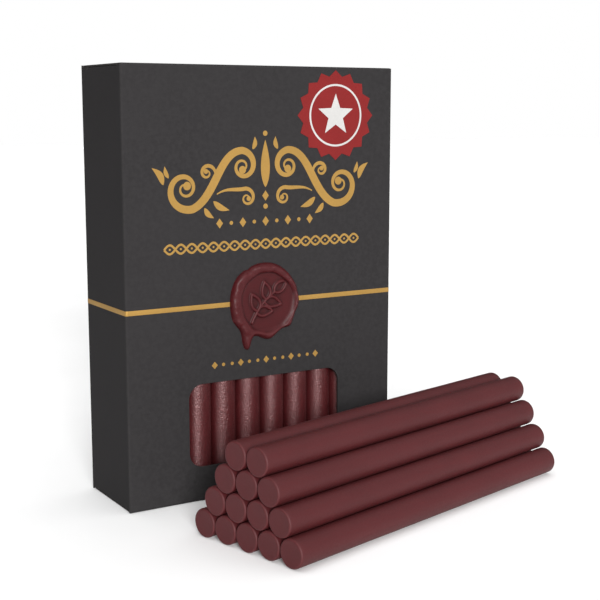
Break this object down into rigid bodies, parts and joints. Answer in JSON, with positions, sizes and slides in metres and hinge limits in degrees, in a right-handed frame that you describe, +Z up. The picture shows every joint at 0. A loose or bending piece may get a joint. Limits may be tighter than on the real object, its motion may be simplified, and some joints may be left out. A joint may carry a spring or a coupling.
{
  "type": "sealing wax stick pack",
  "caption": "Upright folding carton with a die-cut window and hinged tuck-end lids, filled with round sealing wax sticks, with a loose stack of sticks that draw out endwise.",
  "frame": {"origin": "middle of the carton's base, on the surface that it stands on", "axes": "+Z up; the carton's front with the window faces -Y; +X to the right when looking at the front"},
  "size_m": [0.1129, 0.0801, 0.11],
  "materials": {
    "carton_board": "matte printed folding boxboard",
    "wax": "satin cast wax",
    "seal_wax": "satin pressed wax",
    "gold_foil": "satin gold foil",
    "sticker_paper": "matte printed paper"
  },
  "bodies": {
    "carton": {"front_panel": "carton_board", "back_panel": "carton_board", "left_panel": "carton_board", "right_panel": "carton_board", "glue_flap": "carton_board", "gold_band": "gold_foil", "wax_seal": "seal_wax", "starburst_sticker": "sticker_paper", "carton_stick_01": "wax", "carton_stick_02": "wax", "carton_stick_03": "wax", "carton_stick_04": "wax", "carton_stick_05": "wax", "carton_stick_06": "wax", "carton_stick_07": "wax", "carton_stick_08": "wax", "carton_stick_09": "wax", "carton_stick_10": "wax", "carton_stick_11": "wax", "carton_stick_12": "wax", "carton_stick_13": "wax", "carton_stick_14": "wax", "carton_stick_15": "wax", "carton_stick_16": "wax"},
    "top_lid": {"top_lid": "carton_board"},
    "top_tuck_flap": {"top_tuck_flap": "carton_board"},
    "top_dust_flap_left": {"top_dust_flap_left": "carton_board"},
    "top_dust_flap_right": {"top_dust_flap_right": "carton_board"},
    "bottom_lid": {"bottom_lid": "carton_board"},
    "bottom_tuck_flap": {"bottom_tuck_flap": "carton_board"},
    "bottom_dust_flap_left": {"bottom_dust_flap_left": "carton_board"},
    "bottom_dust_flap_right": {"bottom_dust_flap_right": "carton_board"},
    "loose_stick_01": {"loose_stick_01": "wax"},
    "loose_stick_02": {"loose_stick_02": "wax"},
    "loose_stick_03": {"loose_stick_03": "wax"},
    "loose_stick_04": {"loose_stick_04": "wax"},
    "loose_stick_05": {"loose_stick_05": "wax"},
    "loose_stick_06": {"loose_stick_06": "wax"},
    "loose_stick_07": {"loose_stick_07": "wax"},
    "loose_stick_08": {"loose_stick_08": "wax"},
    "loose_stick_09": {"loose_stick_09": "wax"},
    "loose_stick_10": {"loose_stick_10": "wax"},
    "loose_stick_11": {"loose_stick_11": "wax"},
    "loose_stick_12": {"loose_stick_12": "wax"},
    "loose_stick_13": {"loose_stick_13": "wax"},
    "loose_stick_14": {"loose_stick_14": "wax"}
  },
  "joints": [
    {"name": "top_lid_crease", "type": "hinge", "parent": "carton", "child": "top_lid", "pos_m": [0, -0.012, 0.1101], "axis": [1, 0, 0], "range_deg": [0, 170]},
    {"name": "top_tuck_crease", "type": "hinge", "parent": "top_lid", "child": "top_tuck_flap", "pos_m": [0, 0.01125, 0.1094], "axis": [-1, 0, 0], "range_deg": [-14, 60]},
    {"name": "top_dust_left_crease", "type": "hinge", "parent": "carton", "child": "top_dust_flap_left", "pos_m": [-0.0385, 0, 0.10945], "axis": [0, -1, 0], "range_deg": [0, 85.5]},
    {"name": "top_dust_right_crease", "type": "hinge", "parent": "carton", "child": "top_dust_flap_right", "pos_m": [0.0385, 0, 0.10945], "axis": [0, 1, 0], "range_deg": [0, 85.5]},
    {"name": "bottom_lid_crease", "type": "hinge", "parent": "carton", "child": "bottom_lid", "pos_m": [0, -0.012, -0.0001], "axis": [-1, 0, 0], "range_deg": [0, 120]},
    {"name": "bottom_tuck_crease", "type": "hinge", "parent": "bottom_lid", "child": "bottom_tuck_flap", "pos_m": [0, 0.01125, 0.0006], "axis": [1, 0, 0], "range_deg": [-14, 25]},
    {"name": "bottom_dust_left_crease", "type": "hinge", "parent": "carton", "child": "bottom_dust_flap_left", "pos_m": [-0.0385, 0, 0.00055], "axis": [0, 1, 0], "range_deg": [0, 85.5]},
    {"name": "bottom_dust_right_crease", "type": "hinge", "parent": "carton", "child": "bottom_dust_flap_right", "pos_m": [0.0385, 0, 0.00055], "axis": [0, -1, 0], "range_deg": [0, 85.5]},
    {"name": "loose_stick_01_pull", "type": "slide", "parent": "carton", "child": "loose_stick_01", "axis": [-0.9678, -0.2516, 0], "range_m": [0, 0.045]},
    {"name": "loose_stick_02_pull", "type": "slide", "parent": "carton", "child": "loose_stick_02", "axis": [-0.9678, -0.2516, 0], "range_m": [0, 0.045]},
    {"name": "loose_stick_03_pull", "type": "slide", "parent": "carton", "child": "loose_stick_03", "axis": [-0.9678, -0.2516, 0], "range_m": [0, 0.045]},
    {"name": "loose_stick_04_pull", "type": "slide", "parent": "carton", "child": "loose_stick_04", "axis": [-0.9678, -0.2516, 0], "range_m": [0, 0.045]},
    {"name": "loose_stick_05_pull", "type": "slide", "parent": "carton", "child": "loose_stick_05", "axis": [-0.9678, -0.2516, 0], "range_m": [0, 0.045]},
    {"name": "loose_stick_06_pull", "type": "slide", "parent": "carton", "child": "loose_stick_06", "axis": [-0.9678, -0.2516, 0], "range_m": [0, 0.045]},
    {"name": "loose_stick_07_pull", "type": "slide", "parent": "carton", "child": "loose_stick_07", "axis": [-0.9678, -0.2516, 0], "range_m": [0, 0.045]},
    {"name": "loose_stick_08_pull", "type": "slide", "parent": "carton", "child": "loose_stick_08", "axis": [-0.9678, -0.2516, 0], "range_m": [0, 0.045]},
    {"name": "loose_stick_09_pull", "type": "slide", "parent": "carton", "child": "loose_stick_09", "axis": [-0.9678, -0.2516, 0], "range_m": [0, 0.045]},
    {"name": "loose_stick_10_pull", "type": "slide", "parent": "carton", "child": "loose_stick_10", "axis": [-0.9678, -0.2516, 0], "range_m": [0, 0.045]},
    {"name": "loose_stick_11_pull", "type": "slide", "parent": "carton", "child": "loose_stick_11", "axis": [-0.9678, -0.2516, 0], "range_m": [0, 0.045]},
    {"name": "loose_stick_12_pull", "type": "slide", "parent": "carton", "child": "loose_stick_12", "axis": [-0.9678, -0.2516, 0], "range_m": [0, 0.045]},
    {"name": "loose_stick_13_pull", "type": "slide", "parent": "carton", "child": "loose_stick_13", "axis": [-0.9678, -0.2516, 0], "range_m": [0, 0.045]},
    {"name": "loose_stick_14_pull", "type": "slide", "parent": "carton", "child": "loose_stick_14", "axis": [-0.9678, -0.2516, 0], "range_m": [0, 0.045]}
  ],
  "couplings": [
    {"joint": "top_dust_left_crease", "follows": "top_lid_crease", "ratio": 0.5},
    {"joint": "top_dust_right_crease", "follows": "top_lid_crease", "ratio": 0.5},
    {"joint": "bottom_dust_left_crease", "follows": "bottom_lid_crease", "ratio": 0.70833},
    {"joint": "bottom_dust_right_crease", "follows": "bottom_lid_crease", "ratio": 0.70833}
  ]
}
